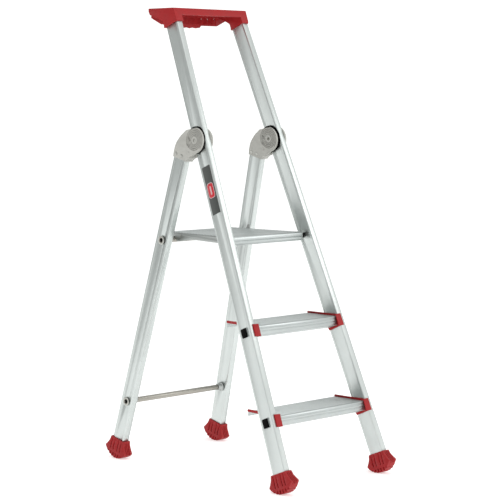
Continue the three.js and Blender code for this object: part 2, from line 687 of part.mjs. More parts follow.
function platformDeck() {
  const start = PLATFORM_FRONT + NOSING_DEPTH + CLEARANCE;
  const points = [[start, PLATFORM_TOP - 14], [start, PLATFORM_TOP]];
  const pitch = 13;
  for (let y = start + 6; y < PLATFORM_REAR - 14; y += pitch) {
    points.push([y, PLATFORM_TOP], [y + 1, PLATFORM_TOP - 1.5]);
    points.push([y + 4.5, PLATFORM_TOP - 1.5], [y + 5.5, PLATFORM_TOP]);
  }
  points.push([PLATFORM_REAR - 4, PLATFORM_TOP], [PLATFORM_REAR, PLATFORM_TOP - 4]);
  points.push([PLATFORM_REAR, PLATFORM_TOP - 18]);
  points.push([PLATFORM_REAR - 3, PLATFORM_TOP - 18], [PLATFORM_REAR - 3, PLATFORM_TOP - 6]);
  points.push([start + 3, PLATFORM_TOP - 6], [start + 3, PLATFORM_TOP - 14]);
  const half = PLATFORM_HALF_FRONT;
  return common(plate(points, -half, half), platformPlan(start, PLATFORM_REAR));
}
addMesh(upright, 'platform_deck', platformDeck(), anodised);

function platformNosing() {
  const y0 = PLATFORM_FRONT;
  const y1 = PLATFORM_FRONT + NOSING_DEPTH;
  const top = PLATFORM_TOP;
  const outside = [
    [y0 + 6, top - 25.5], [y0 + 2, top - 24], [y0, top - 20], [y0 + 0.6, top - 15.5], [y0 + 2.6, top - 13.5],
    [y0 + 0.8, top - 11.5], [y0, top - 7], [y0 + 1.6, top - 2.6], [y0 + 5, top], [y1, top], [y1, top - 25.5],
  ];
  const inside = [
    [y0 + 6, top - 23], [y0 + 3, top - 20], [y0 + 5, top - 13.5], [y0 + 3, top - 7], [y0 + 6, top - 2.8],
    [y1 - 2.5, top - 2.8], [y1 - 2.5, top - 23],
  ];
  const half = PLATFORM_HALF_FRONT;
  const bar = cut(plate(outside, -half, half), [plate(inside, -2 * half, 2 * half)]);
  return common(bar, platformPlan(y0, y1));
}
addMesh(upright, 'platform_nosing', platformNosing(), anodised);

// Hook bracket: the saddle sits over the cross tube and opens down and forward.
function platformBracket(lug) {
  const { y, z } = tubeUp;
  const saddle = TUBE_RADIUS + 0.8;
  const arc = arcPoints(y, z, saddle, 0, THREE.MathUtils.degToRad(150), 8);
  const points = [
    [PLATFORM_FRONT + 4, PLATFORM_TOP - 1], [PLATFORM_FRONT + 1.5, PLATFORM_TOP - 6],
    [PLATFORM_FRONT + 1.5, PLATFORM_TOP - 21], [PLATFORM_FRONT + 6, PLATFORM_TOP - 24],
    [326, PLATFORM_TOP - 21], [444, PLATFORM_TOP - 18], [512, PLATFORM_TOP - 26],
    [y - saddle - 6.5, PLATFORM_TOP - 27],
    ...arc.reverse(),
    [y + saddle, PLATFORM_TOP - 26], [PLATFORM_REAR - 6, PLATFORM_TOP - 27],
    [PLATFORM_REAR, PLATFORM_TOP - 20],
    [PLATFORM_REAR, PLATFORM_TOP - 4], [PLATFORM_REAR - 4, PLATFORM_TOP - 1],
    ...lug,
  ];
  const hole = (cy, cz, radius) => rod(radius + CLEARANCE, -BRACKET, 2 * BRACKET, cy, cz, 12);
  const holes = [hole(PLATFORM_HINGE_Y, PLATFORM_HINGE_Z, HINGE_PIN)];
  deckRivets.forEach((rivetY) => holes.push(hole(rivetY, RIVET_Z, RIVET_RADIUS - 1)));
  return bracketPlace(cut(plate(points, -BRACKET, 0), holes));
}

function bracketPlace(geometry) {
  const turned = geometry.translate(0, -PLATFORM_FRONT, 0).rotateZ(sideSlope);
  return turned.translate(PLATFORM_HALF_FRONT, PLATFORM_FRONT, 0);
}


// The right bracket alone carries a small upstanding lug.
const bracketLug = [
  [LUG_Y + 8, PLATFORM_TOP - 1],
  [LUG_Y + 5.5, PLATFORM_TOP + 9],
  [LUG_Y + 2, PLATFORM_TOP + 11.5],
  [LUG_Y - 3, PLATFORM_TOP + 11.5],
  [LUG_Y - 6, PLATFORM_TOP + 8],
  [LUG_Y - 7, PLATFORM_TOP - 1],
];
addMesh(upright, 'right_platform_bracket', platformBracket(bracketLug), millAluminium);
addMesh(upright, 'left_platform_bracket', mirrored(platformBracket([])), millAluminium);

// Rivets fix the brackets to the deck's front and rear skirts.
function deckRivet(y) {
  const radius = RIVET_RADIUS - 1;
  const shank = rod(radius, -BRACKET - 2.4, 0.8, y, RIVET_Z, 10);
  const head = rod(radius + 1.6, CLEARANCE, 1.3, y, RIVET_Z, 10);
  const inner = rod(radius + 1.2, -BRACKET - 2.4, -BRACKET - CLEARANCE, y, RIVET_Z, 10);
  return bracketPlace(join([shank, head, inner]));
}
deckRivets.forEach((y, row) => addPair(upright, `platform_rivet_${row + 1}`, deckRivet(y), zincSteel));

// Platform hinge: black spacers and pins fixed to the stiles.
function platformSpacer() {
  const { v, s } = platformHinge;
  const outer = stileX(s) - STILE_WIDTH / 2 - 2 * CLEARANCE - SPACER_RADIUS * Math.tan(STILE_SPLAY);
  const inner = platformHalf(PLATFORM_HINGE_Y) + 3 * CLEARANCE + SPACER_RADIUS * Math.tan(sideSlope);
  return cut(rod(SPACER_RADIUS, inner, outer, v, s), [rod(HINGE_PIN + CLEARANCE, 0, 2 * STILE_X, v, s, 12)]);
}
addPair(frontFrame, 'platform_spacer', platformSpacer(), blackPlastic);

function platformPin() {
  const { v, s } = platformHinge;
  const inner = platformHalf(PLATFORM_HINGE_Y) - BRACKET;
  const head = stileX(s) - STILE_WIDTH / 2 + PANEL_RECESS + WALL + 2 * CLEARANCE;
  const shank = rod(HINGE_PIN, inner - 3.5, head + 1, v, s, 12);
  const inside = rod(HINGE_PIN + 2.5, head, head + 2, v, s, 12);
  const tail = rod(HINGE_PIN + 2, inner - 3.5, inner - 1, v, s, 12);
  return join([shank, inside, tail]);
}
addPair(frontFrame, 'platform_pin', platformPin(), zincSteel);

// Tool tray: one moulding with a socket for each stile and a deep rear apron.
function trayPlan(inset) {
  const shape = new THREE.Shape();
  const front = TRAY_HALF_FRONT - inset;
  const rear = TRAY_HALF_REAR - inset;
  const y0 = TRAY_FRONT + inset;
  const y1 = TRAY_REAR - inset;
  const corner = TRAY_CORNER - inset / 2;
  shape.moveTo(-front + corner, y0);
  shape.lineTo(front - corner, y0);
  shape.quadraticCurveTo(front, y0, front + 1, y0 + corner);
  shape.lineTo(rear, y1 - corner / 2);
  shape.quadraticCurveTo(rear, y1, rear - corner / 2, y1);
  shape.lineTo(-rear + corner / 2, y1);
  shape.quadraticCurveTo(-rear, y1, -rear, y1 - corner / 2);
  shape.lineTo(-front - 1, y0 + corner);
  shape.quadraticCurveTo(-front, y0, -front + corner, y0);
  return shape;
}

// Side cheek of the tray: wraps the stile's top and slopes down from the rear edge.
function traySocket() {
  const low = upFromFront(-STILE_DEPTH / 2 - SHOE_WALL, SOCKET_BOTTOM);
  const back = upFromFront(STILE_DEPTH / 2 + SHOE_WALL, SOCKET_BOTTOM);
  const points = [
    [low.y, low.z], [low.y, TRAY_TOP - 4], [TRAY_REAR - 2, TRAY_TOP - 4], [TRAY_REAR - 7, TRAY_BOTTOM + 1],
    [TRAY_REAR - 45, TRAY_BOTTOM - 13.5], [TRAY_REAR - 57, TRAY_BOTTOM - 19],
    [back.y + 1.5, back.z + 9], [back.y, back.z],
  ];
  const block = plate(points, TRAY_HALF_FRONT - 25, TRAY_HALF_REAR);
  return common(block, prism(trayPlan(0), 0, TRAY_TOP));
}

function trayApron() {
  const half = [
    [TRAY_HALF_REAR - 5, TRAY_BOTTOM + 2], [TRAY_HALF_REAR - 5, TRAY_BOTTOM - 8],
    [TRAY_HALF_FRONT - 33, TRAY_BOTTOM - 25], [46, TRAY_BOTTOM - 25], [40, TRAY_BOTTOM - 31],
    [24, TRAY_BOTTOM - 33], [12, TRAY_BOTTOM - 31], [0, TRAY_BOTTOM - 33.5],
  ];
  const other = half.slice(0, -1).reverse().map(([x, z]) => [-x, z]);
  const shape = outline([...half, ...other]);
  const form = new THREE.ExtrudeGeometry(shape, { depth: 4, bevelEnabled: false }).rotateX(Math.PI / 2);
  const slots = [];
  [48, 73, 99].forEach((x) => {
    [-1, 1].forEach((side) => slots.push(
      box(side * x - 2, side * x + 2, TRAY_REAR - 23, TRAY_REAR + 7, TRAY_BOTTOM - 7, TRAY_BOTTOM - 2),
    ));
  });
  return cut(form.translate(0, TRAY_REAR - 7, 0), slots);
}

function topTray() {
  const shell = prism(trayPlan(0), TRAY_BOTTOM, TRAY_TOP);
  const socket = traySocket();
  const lugs = [-1, 1].map((side) => (
    box(side * LUG_X - 6.5, side * LUG_X + 6.5, TRAY_REAR - 17, TRAY_REAR - 11, TRAY_TOP - 2, TRAY_TOP + 4)
  ));
  const moulding = join([shell, socket, mirrored(socket), trayApron(), ...lugs]);
  const halfU = STILE_WIDTH / 2 + CLEARANCE;
  const halfV = STILE_DEPTH / 2 + CLEARANCE;
  const top = splayedLength(STILE_TOP, STILE_SPLAY) + 2 * CLEARANCE;
  const pocket = alongStile(box(-halfU, halfU, -halfV, halfV, SOCKET_BOTTOM - 86, top)).rotateX(-FRONT_LEAN);
  const wide = 2 * TRAY_HALF_REAR;
  const far = STILE_TOP + wide;
  const front = box(-wide, wide, -wide, -STILE_DEPTH / 2 - SHOE_WALL, SOCKET_BOTTOM - wide, far)
    .rotateX(-FRONT_LEAN);
  const rear = plate([
    [TRAY_REAR + 1, TRAY_TOP - 5], [TRAY_REAR + 40, TRAY_TOP - 5], [TRAY_REAR + 40, TRAY_BOTTOM - 111],
    [TRAY_REAR - 7, TRAY_BOTTOM - 111], [TRAY_REAR - 7, TRAY_BOTTOM],
  ], -wide, wide);
  const wallY = TRAY_FRONT + WELL_FRONT;
  const well = box(-WELL_HALF, WELL_HALF, wallY, TRAY_REAR - 18, TRAY_TOP - TRAY_RECESS, TRAY_TOP + 9);
  const apronY = TRAY_REAR - 11 - CLEARANCE;
  const under = box(-WELL_HALF - 8, WELL_HALF + 8, wallY - 4, apronY, TRAY_BOTTOM - 41, TRAY_BOTTOM + 3);
  return cut(moulding, [pocket, mirrored(pocket), front, rear, well, under]);
}
addMesh(upright, 'top_tray', topTray(), redPlastic);

ladder.updateMatrixWorld(true);
const extent = new THREE.Box3().setFromObject(ladder, true);
upright.position.y = -(extent.min.y + extent.max.y) / 2;
upright.position.z = -extent.min.z;

export default ladder;
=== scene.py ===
import json
import math

import bmesh
import bpy
from mathutils import Matrix, Vector


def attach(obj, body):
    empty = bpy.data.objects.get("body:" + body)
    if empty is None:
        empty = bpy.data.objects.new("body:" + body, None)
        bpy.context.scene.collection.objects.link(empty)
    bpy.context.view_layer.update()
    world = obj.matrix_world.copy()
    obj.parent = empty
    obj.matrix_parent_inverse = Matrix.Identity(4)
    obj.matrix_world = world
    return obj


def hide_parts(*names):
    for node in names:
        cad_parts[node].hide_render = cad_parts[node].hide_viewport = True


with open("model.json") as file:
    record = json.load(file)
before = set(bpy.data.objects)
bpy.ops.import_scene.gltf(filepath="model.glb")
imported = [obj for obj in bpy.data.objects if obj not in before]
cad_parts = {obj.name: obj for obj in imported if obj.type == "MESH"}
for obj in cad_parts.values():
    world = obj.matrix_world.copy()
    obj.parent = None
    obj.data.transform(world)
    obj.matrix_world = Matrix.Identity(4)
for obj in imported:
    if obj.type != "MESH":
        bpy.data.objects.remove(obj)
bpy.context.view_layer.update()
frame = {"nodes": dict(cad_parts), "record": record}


# ---- The view and the room -------------------------------------------------------------
# A long lens from the climber's left, a little above the tray, level to a few degrees.
# A white floor, a pale room that is brighter on the right front, and broad soft lamps.
def linear(hex_colour):
    channels = [int(hex_colour[i : i + 2], 16) / 255 for i in (1, 3, 5)]
    return [c / 12.92 if c <= 0.04045 else ((c + 0.055) / 1.055) ** 2.4 for c in channels] + [1.0]


def add(tree, kind, settings=None, links=None):
    made = tree.nodes.new(kind)
    for key, value in (settings or {}).items():
        if isinstance(key, int) or key in made.inputs.keys():
            made.inputs[key].default_value = value
        else:
            setattr(made, key, value)
    for key, source in (links or {}).items():
        tree.links.new(source, made.inputs[key])
    return made


camera_data = bpy.data.cameras.new("camera")
camera = bpy.data.objects.new("camera", camera_data)
bpy.context.scene.collection.objects.link(camera)
camera_data.sensor_width = 36
camera_data.lens = 127.21
camera_data.clip_end = 100
camera.location = (-3.5544, -3.6681, 1.0717)
turn, dip, roll = math.radians(44.19), math.radians(4.922), math.radians(-0.08)
look = Vector((math.sin(turn) * math.cos(dip), math.cos(turn) * math.cos(dip), -math.sin(dip)))
camera.rotation_mode = "QUATERNION"
level = look.to_track_quat("-Z", "Y")
camera.rotation_quaternion = level @ Matrix.Rotation(roll, 3, "Z").to_quaternion()
bpy.context.scene.camera = camera
bpy.context.scene.view_settings.view_transform = "Standard"

world = bpy.data.worlds.new("pale_room")
bpy.context.scene.world = world
world.use_nodes = True
sky = world.node_tree
sky.nodes.clear()
direction = add(sky, "ShaderNodeTexCoord")
BRIGHT_SIDE = (0.69, -0.6, 0.4)
DIMMEST, BRIGHTEST, BACKDROP = 0.52, 0.92, 1.2
toward_right_front = add(
    sky,
    "ShaderNodeVectorMath",
    {"operation": "DOT_PRODUCT", 1: BRIGHT_SIDE},
    {0: direction.outputs["Generated"]},
)
tone = add(
    sky,
    "ShaderNodeMapRange",
    {1: -1.0, 2: 1.0, 3: DIMMEST, 4: BRIGHTEST},
    {0: toward_right_front.outputs["Value"]},
)
seen = add(sky, "ShaderNodeLightPath")
lit_or_seen = {0: seen.outputs["Is Camera Ray"], 2: tone.outputs[0]}
strength = add(sky, "ShaderNodeMix", {2: 1.0, 3: BACKDROP}, lit_or_seen)
air = add(sky, "ShaderNodeBackground", {"Color": linear("#fbfdfc")}, {"Strength": strength.outputs[0]})
add(sky, "ShaderNodeOutputWorld", {}, {"Surface": air.outputs[0]})


def lamp(name, place, aim, size, power):
    data = bpy.data.lights.new(name, "AREA")
    data.size = size
    data.energy = power
    made = bpy.data.objects.new(name, data)
    bpy.context.scene.collection.objects.link(made)
    made.location = place
    made.rotation_mode = "QUATERNION"
    made.rotation_quaternion = (Vector(aim) - Vector(place)).to_track_quat("-Z", "Y")


lamp("front_softbox", (3.2, -4.0, 3.2), (0, 0, 0.7), 2.6, 50)
lamp("overhead_softbox", (-0.8, -0.4, 4.2), (0, 0, 0.5), 3.0, 26)

FLOOR_HALF, FLOOR_TOP = 30, -0.0006
floor_mesh = bmesh.new()
corners = [
    floor_mesh.verts.new((a * FLOOR_HALF, b * FLOOR_HALF, FLOOR_TOP))
    for a, b in ((-1, -1), (1, -1), (1, 1), (-1, 1))
]
floor_mesh.faces.new(corners)
floor_data = bpy.data.meshes.new("floor")
floor_mesh.to_mesh(floor_data)
floor = bpy.data.objects.new("floor", floor_data)
bpy.context.scene.collection.objects.link(floor)
floor_paint = bpy.data.materials.new("matt_white_painted_floor")
floor_paint.use_nodes = True
paint = floor_paint.node_tree.nodes["Principled BSDF"].inputs
paint["Base Color"].default_value = (0.93, 0.93, 0.93, 1)
paint["Roughness"].default_value = 0.9
paint["Emission Color"].default_value = (1, 1, 1, 1)
paint["Emission Strength"].default_value = 0.45
floor_data.materials.append(floor_paint)


# ---- Stiles and rear legs --------------------------------------------------------------
# Hollow rectangular extrusions of aluminium, brushed and anodised silver, cut to length.
# The die leaves fine lines along each bar, and each side face has a shallow panel.
MM = 0.001
body_of = {}
for body, members in frame["record"]["behaviour"]["bodies"].items():
    for member in members:
        body_of[member] = body


def fresh_material(name):
    made = bpy.data.materials.new(name)
    made.use_nodes = True
    tree = made.node_tree
    tree.nodes.clear()
    return made, tree


ALONG_BAR, ALONG_X, ALONG_Y = (850, 850, 4), (4, 850, 850), (850, 4, 850)


# Anodised extruded aluminium: a satin metal whose die lines stretch each reflection.
# Die lines are about 0.1 mm apart, drawn at about 1.2 mm so that they show.
def anodised_extruded_aluminium(name, lean, tint="#d2d7d5", rough=0.36, lines_along=ALONG_BAR):
    made, tree = fresh_material(name)
    place = add(tree, "ShaderNodeTexCoord")
    along = add(
        tree,
        "ShaderNodeMapping",
        {"Rotation": (lean, 0, 0), "Scale": lines_along},
        {"Vector": place.outputs["Object"]},
    )
    lines = add(
        tree,
        "ShaderNodeTexNoise",
        {"Scale": 1.0, "Detail": 3.0, "Roughness": 0.6},
        {"Vector": along.outputs[0]},
    )
    here = {"Vector": place.outputs["Object"]}
    patch = add(tree, "ShaderNodeTexNoise", {"Scale": 9.0, "Detail": 3.0}, here)
    blend = {0: lines.outputs[0], 2: patch.outputs[0]}
    mixed = add(tree, "ShaderNodeMath", {"operation": "MULTIPLY_ADD", 1: 0.5}, blend)
    shade = add(tree, "ShaderNodeValToRGB", {}, {0: mixed.outputs[0]})
    base = linear(tint)
    shade.color_ramp.elements[0].position = 0.45
    shade.color_ramp.elements[0].color = [c * 0.9 for c in base[:3]] + [1]
    shade.color_ramp.elements[1].position = 1.0
    shade.color_ramp.elements[1].color = base
    gloss_range = {1: 0.3, 2: 0.7, 3: rough - 0.05, 4: rough + 0.06}
    gloss = add(tree, "ShaderNodeMapRange", gloss_range, {0: lines.outputs[0]})
    height = {"Height": lines.outputs[0]}
    relief = add(tree, "ShaderNodeBump", {"Strength": 0.12, "Distance": 0.0004}, height)
    metal = add(
        tree,
        "ShaderNodeBsdfPrincipled",
        {"Metallic": 1.0},
        {"Base Color": shade.outputs[0], "Roughness": gloss.outputs[0], "Normal": relief.outputs[0]},
    )
    add(tree, "ShaderNodeOutputMaterial", {}, {"Surface": metal.outputs[0]})
    return made


# A piece of its own made from a node's solid, with flat faces joined back together.
def take_copy(node):
    source = frame["nodes"][node]
    mesh = bmesh.new()
    mesh.from_mesh(source.data)
    bmesh.ops.remove_doubles(mesh, verts=mesh.verts, dist=1e-6)
    bmesh.ops.dissolve_limit(mesh, angle_limit=math.radians(0.5), verts=mesh.verts, edges=mesh.edges)
    data = bpy.data.meshes.new(node + "_made")
    mesh.to_mesh(data)
    made = bpy.data.objects.new(data.name, data)
    bpy.context.scene.collection.objects.link(made)
    return made


HARD_EDGE = math.radians(28)


# Breaks every hard edge by a real radius, as the die, the mould or a file does.
def break_edges(piece, radius):
    rounding = piece.modifiers.new("edge_radius", "BEVEL")
    rounding.width = radius
    rounding.segments = 2
    rounding.limit_method = "ANGLE"
    rounding.angle_limit = HARD_EDGE
    rounding.use_clamp_overlap = True
    rounding.harden_normals = True
    for face in piece.data.polygons:
        face.use_smooth = True


def stand_for(piece, node, material):
    piece.data.materials.clear()
    piece.data.materials.append(material)
    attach(piece, body_of[node])
    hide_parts(node)


FRONT_LEAN = math.radians(22.2165)
REAR_LEAN = math.radians(-15.043)
stile_metal = anodised_extruded_aluminium("anodised_extruded_aluminium_stile", FRONT_LEAN)
leg_metal = anodised_extruded_aluminium("anodised_extruded_aluminium_leg", REAR_LEAN)
for node, metal in (
    ("left_front_stile", stile_metal),
    ("right_front_stile", stile_metal),
    ("left_rear_leg", leg_metal),
    ("right_rear_leg", leg_metal),
):
    bar = take_copy(node)
    break_edges(bar, 0.3 * MM)
    stand_for(bar, node, metal)


# ---- Feet ------------------------------------------------------------------------------
# Rocker shoes injection-moulded in red polypropylene, pushed over the ends of the bars.
# A fine spark-eroded texture keeps the gloss low, and the edges are rounded off.


# Moulded plastic: fine grit from the mould breaks up each highlight, and slow clouds of
# tone and gloss keep large faces from looking flat.
def moulded_plastic(name, hex_colour, rough, grain=1400, depth=0.25, specular=0.5):
    made, tree = fresh_material(name)
    place = add(tree, "ShaderNodeTexCoord")
    here = {"Vector": place.outputs["Object"]}
    grit = add(tree, "ShaderNodeTexNoise", {"Scale": float(grain), "Detail": 2.0}, here)
    cloud = add(tree, "ShaderNodeTexNoise", {"Scale": 28.0, "Detail": 4.0}, here)
    shade = add(tree, "ShaderNodeValToRGB", {}, {0: cloud.outputs[0]})
    base = linear(hex_colour)
    shade.color_ramp.elements[0].position = 0.3
    shade.color_ramp.elements[0].color = [c * 0.88 for c in base[:3]] + [1]
    shade.color_ramp.elements[1].position = 0.72
    shade.color_ramp.elements[1].color = base
    gloss_range = {1: 0.3, 2: 0.7, 3: rough - 0.06, 4: rough + 0.08}
    gloss = add(tree, "ShaderNodeMapRange", gloss_range, {0: cloud.outputs[0]})
    height = {"Height": grit.outputs[0]}
    relief = add(tree, "ShaderNodeBump", {"Strength": depth, "Distance": 0.0002}, height)
    skin = add(
        tree,
        "ShaderNodeBsdfPrincipled",
        {"IOR": 1.5, "Specular IOR Level": specular},
        {"Base Color": shade.outputs[0], "Roughness": gloss.outputs[0], "Normal": relief.outputs[0]},
    )
    add(tree, "ShaderNodeOutputMaterial", {}, {"Surface": skin.outputs[0]})
    return made


red_moulding = moulded_plastic("injection_moulded_red_polypropylene", "#a41f22", 0.5, specular=0.25)
for node in ("left_front_foot", "right_front_foot", "left_rear_foot", "right_rear_foot"):
    shoe = take_copy(node)
    break_edges(shoe, 0.7 * MM)
    stand_for(shoe, node, red_moulding)


# ---- Treads, their tenon plugs and red end caps ----------------------------------------
# Each tread is one ribbed extrusion whose box girder passes through the stiles and is
# turned over outside. Black plugs close the girder, and red caps trim the tread's ends.
tread_metal = anodised_extruded_aluminium(
    "anodised_extruded_aluminium_tread", 0.0, "#c2c7c6", 0.4, ALONG_X
)
# Black nylon for the plugs and spacers; on the washers at the left of each stile the same black is
# painted shade.
black_nylon_and_painted_shade = moulded_plastic("black_nylon_and_painted_gap_shade", "#040404", 0.55, specular=0.05)
for step in ("lower", "upper"):
    board = take_copy(step + "_tread")
    break_edges(board, 0.3 * MM)
    stand_for(board, step + "_tread", tread_metal)
    for side in ("left", "right"):
        plug = take_copy(f"{side}_{step}_tread_plug")
        break_edges(plug, 0.5 * MM)
        stand_for(plug, f"{side}_{step}_tread_plug", black_nylon_and_painted_shade)
        cap = take_copy(f"{side}_{step}_tread_end_cap")
        break_edges(cap, 0.4 * MM)
        stand_for(cap, f"{side}_{step}_tread_end_cap", red_moulding)


# ---- Hinge heads -----------------------------------------------------------------------
# Two glass-filled nylon cheeks per side, riveted to the leg and pinned through the stile.
# Steel pins and the friction washers, one black as painted shade and one grey a side, stay with the
# stile.
grey_moulding = moulded_plastic(
    "injection_moulded_grey_glass_filled_nylon", "#bdbcb6", 0.55, specular=0.3
)


# Plated steel: a small mottle of tone and gloss, so that a turned edge glints unevenly.
def plated_steel(name, hex_colour, rough):
    made, tree = fresh_material(name)
    place = add(tree, "ShaderNodeTexCoord")
    here = {"Vector": place.outputs["Object"]}
    mottle = add(tree, "ShaderNodeTexNoise", {"Scale": 380.0, "Detail": 3.0}, here)
    gloss_range = {1: 0.3, 2: 0.7, 3: rough - 0.06, 4: rough + 0.08}
    gloss = add(tree, "ShaderNodeMapRange", gloss_range, {0: mottle.outputs[0]})
    height = {"Height": mottle.outputs[0]}
    relief = add(tree, "ShaderNodeBump", {"Strength": 0.1, "Distance": 0.0002}, height)
    shade = add(tree, "ShaderNodeValToRGB", {}, {0: mottle.outputs[0]})
    base = linear(hex_colour)
    shade.color_ramp.elements[0].color = [c * 0.85 for c in base[:3]] + [1]
    shade.color_ramp.elements[1].color = base
    metal = add(
        tree,
        "ShaderNodeBsdfPrincipled",
        {"Metallic": 1.0},
        {"Base Color": shade.outputs[0], "Roughness": gloss.outputs[0], "Normal": relief.outputs[0]},
    )
    add(tree, "ShaderNodeOutputMaterial", {}, {"Surface": metal.outputs[0]})
    return made


# A point of the rear frame: u outwards from the leg's middle, v rearwards, s up the leg.
FOOT_LINE = (0.2026, 0.7119 - 0.358706, 0.000112)
LEG_DRAW_IN = 0.0546


def leg_point(side, u, v, s):
    return Vector(
        (
            side * (FOOT_LINE[0] - LEG_DRAW_IN * s + u),
            FOOT_LINE[1] + s * math.sin(REAR_LEAN) + v * math.cos(REAR_LEAN),
            FOOT_LINE[2] + s * math.cos(REAR_LEAN) - v * math.sin(REAR_LEAN),
        )
    )


def new_piece(name, mesh):
    bmesh.ops.recalc_face_normals(mesh, faces=mesh.faces)
    data = bpy.data.meshes.new(name)
    mesh.to_mesh(data)
    made = bpy.data.objects.new(name, data)
    bpy.context.scene.collection.objects.link(made)
    return made


# Cuts the tool's shape out of a piece and keeps the result as the piece's own mesh.
def carve(piece, tool):
    cutting = piece.modifiers.new("cut", "BOOLEAN")
    cutting.operation = "DIFFERENCE"
    cutting.solver = "EXACT"
    cutting.object = tool
    bpy.context.view_layer.update()
    done = piece.evaluated_get(bpy.context.evaluated_depsgraph_get())
    data = bpy.data.meshes.new_from_object(done)
    piece.modifiers.clear()
    piece.data = data
    bpy.data.objects.remove(tool)


PIVOT_V, PIVOT_S = -0.0532, 0.9997
CHEEK_FACE = 0.020
# Dimples in a cheek's face: distance behind the pivot, distance above it, and size.
DIMPLES = ((0.0205, 0.0040, 0.0062), (0.0235, -0.0150, 0.0062), (0.0225, -0.0330, 0.0045))
DIMPLE_TILT, DIMPLE_DEPTH, DIMPLE_WIDE, DIMPLE_TALL = math.radians(-38), 0.0030, 0.62, 1.25
# Notches in a cheek's rear shoulder: place across the leg, and place up it.
NOTCH_RADIUS, NOTCH_REACH, NOTCH_LIFT = 0.0013, 0.012, 0.001
NOTCHES = ((-0.0075, 1.0135), (-0.0025, 1.0072), (0.0022, 1.0012), (0.0062, 0.9945))


# Everything that is cut out of one cheek: three dimples and four notches.
def cheek_tool(side, out):
    mesh = bmesh.new()
    for back, up, size in DIMPLES:
        tilt = Matrix.Rotation(DIMPLE_TILT, 3, "X")
        lean_v = back * math.cos(REAR_LEAN) - up * math.sin(REAR_LEAN)
        lean_s = back * math.sin(REAR_LEAN) + up * math.cos(REAR_LEAN)
        centre = leg_point(side, out * CHEEK_FACE, PIVOT_V + lean_v, PIVOT_S + lean_s)
        ball = bmesh.ops.create_icosphere(mesh, subdivisions=3, radius=1.0)["verts"]
        for vert in ball:
            x, y, z = vert.co
            shape = Vector((x * DIMPLE_DEPTH, y * size * DIMPLE_WIDE, z * size * DIMPLE_TALL))
            vert.co = centre + tilt @ shape
    for v, s in NOTCHES:
        rod = bmesh.ops.create_cone(
            mesh,
            cap_ends=True,
            segments=12,
            radius1=NOTCH_RADIUS,
            radius2=NOTCH_RADIUS,
            depth=NOTCH_REACH,
        )["verts"]
        centre = leg_point(side, out * (CHEEK_FACE + NOTCH_LIFT), v, s)
        for vert in rod:
            vert.co = centre + Vector((vert.co.z, vert.co.x, vert.co.y))
    return new_piece(f"cheek_tool_{side}_{out}", mesh)


# Moulded-in ridges round the pivot: radius, first angle and last angle.
RIDGES = (
    (0.0120, 0, 360),
    (0.0168, 0, 360),
    (0.0216, 0, 360),
    (0.0264, 0, 360),
    (0.0312, -42, 208),
)
RIDGE_RADIUS, RIDGE_SINK, RING_STEPS = 0.0008, 0.0001, 56


# Sweeps a small section of (height above the face, radius offset) along every ridge line.
def ring_sweep(side, out, name, section):
    mesh = bmesh.new()
    count = len(section)
    for radius, first, last in RIDGES:
        whole = last - first == 360
        rows = []
        for step in range(RING_STEPS if whole else RING_STEPS + 1):
            angle = math.radians(first + (last - first) * step / RING_STEPS)
            row = []
            for rise, offset in section:
                r = radius + offset
                v, s = PIVOT_V + r * math.cos(angle), PIVOT_S + r * math.sin(angle)
                row.append(mesh.verts.new(leg_point(side, out * (CHEEK_FACE + rise), v, s)))
            rows.append(row)
        for one, two in zip(rows, rows[1:] + ([rows[0]] if whole else [])):
            for k in range(count):
                mesh.faces.new((one[k], one[(k + 1) % count], two[(k + 1) % count], two[k]))
        if not whole:
            mesh.faces.new(rows[0])
            mesh.faces.new(rows[-1])
    return new_piece(name, mesh)


# The section of a ridge is a low half-round bead, rooted a little below the face.
BEAD = []
for turn in range(7):
    bead = math.pi * turn / 6
    BEAD.append((RIDGE_RADIUS * math.sin(bead) - RIDGE_SINK, RIDGE_RADIUS * math.cos(bead)))

# The valleys beside the ridges are given a darker matt grey as painted shade, for the shade that falls
# between the ridges. Each is a thin flat band just outside its ridge.
painted_valley_shade = moulded_plastic("painted_valley_shade_grey_nylon", "#6b6964", 0.7, specular=0.1)
VALLEY_MIDDLE, VALLEY_HALF, VALLEY_TOP, VALLEY_DEPTH = 0.0016, 0.0008, 0.00012, 0.0003
VALLEY = [
    (VALLEY_TOP, VALLEY_MIDDLE - VALLEY_HALF),
    (VALLEY_TOP, VALLEY_MIDDLE + VALLEY_HALF),
    (VALLEY_TOP - VALLEY_DEPTH, VALLEY_MIDDLE + VALLEY_HALF),
    (VALLEY_TOP - VALLEY_DEPTH, VALLEY_MIDDLE - VALLEY_HALF),
]


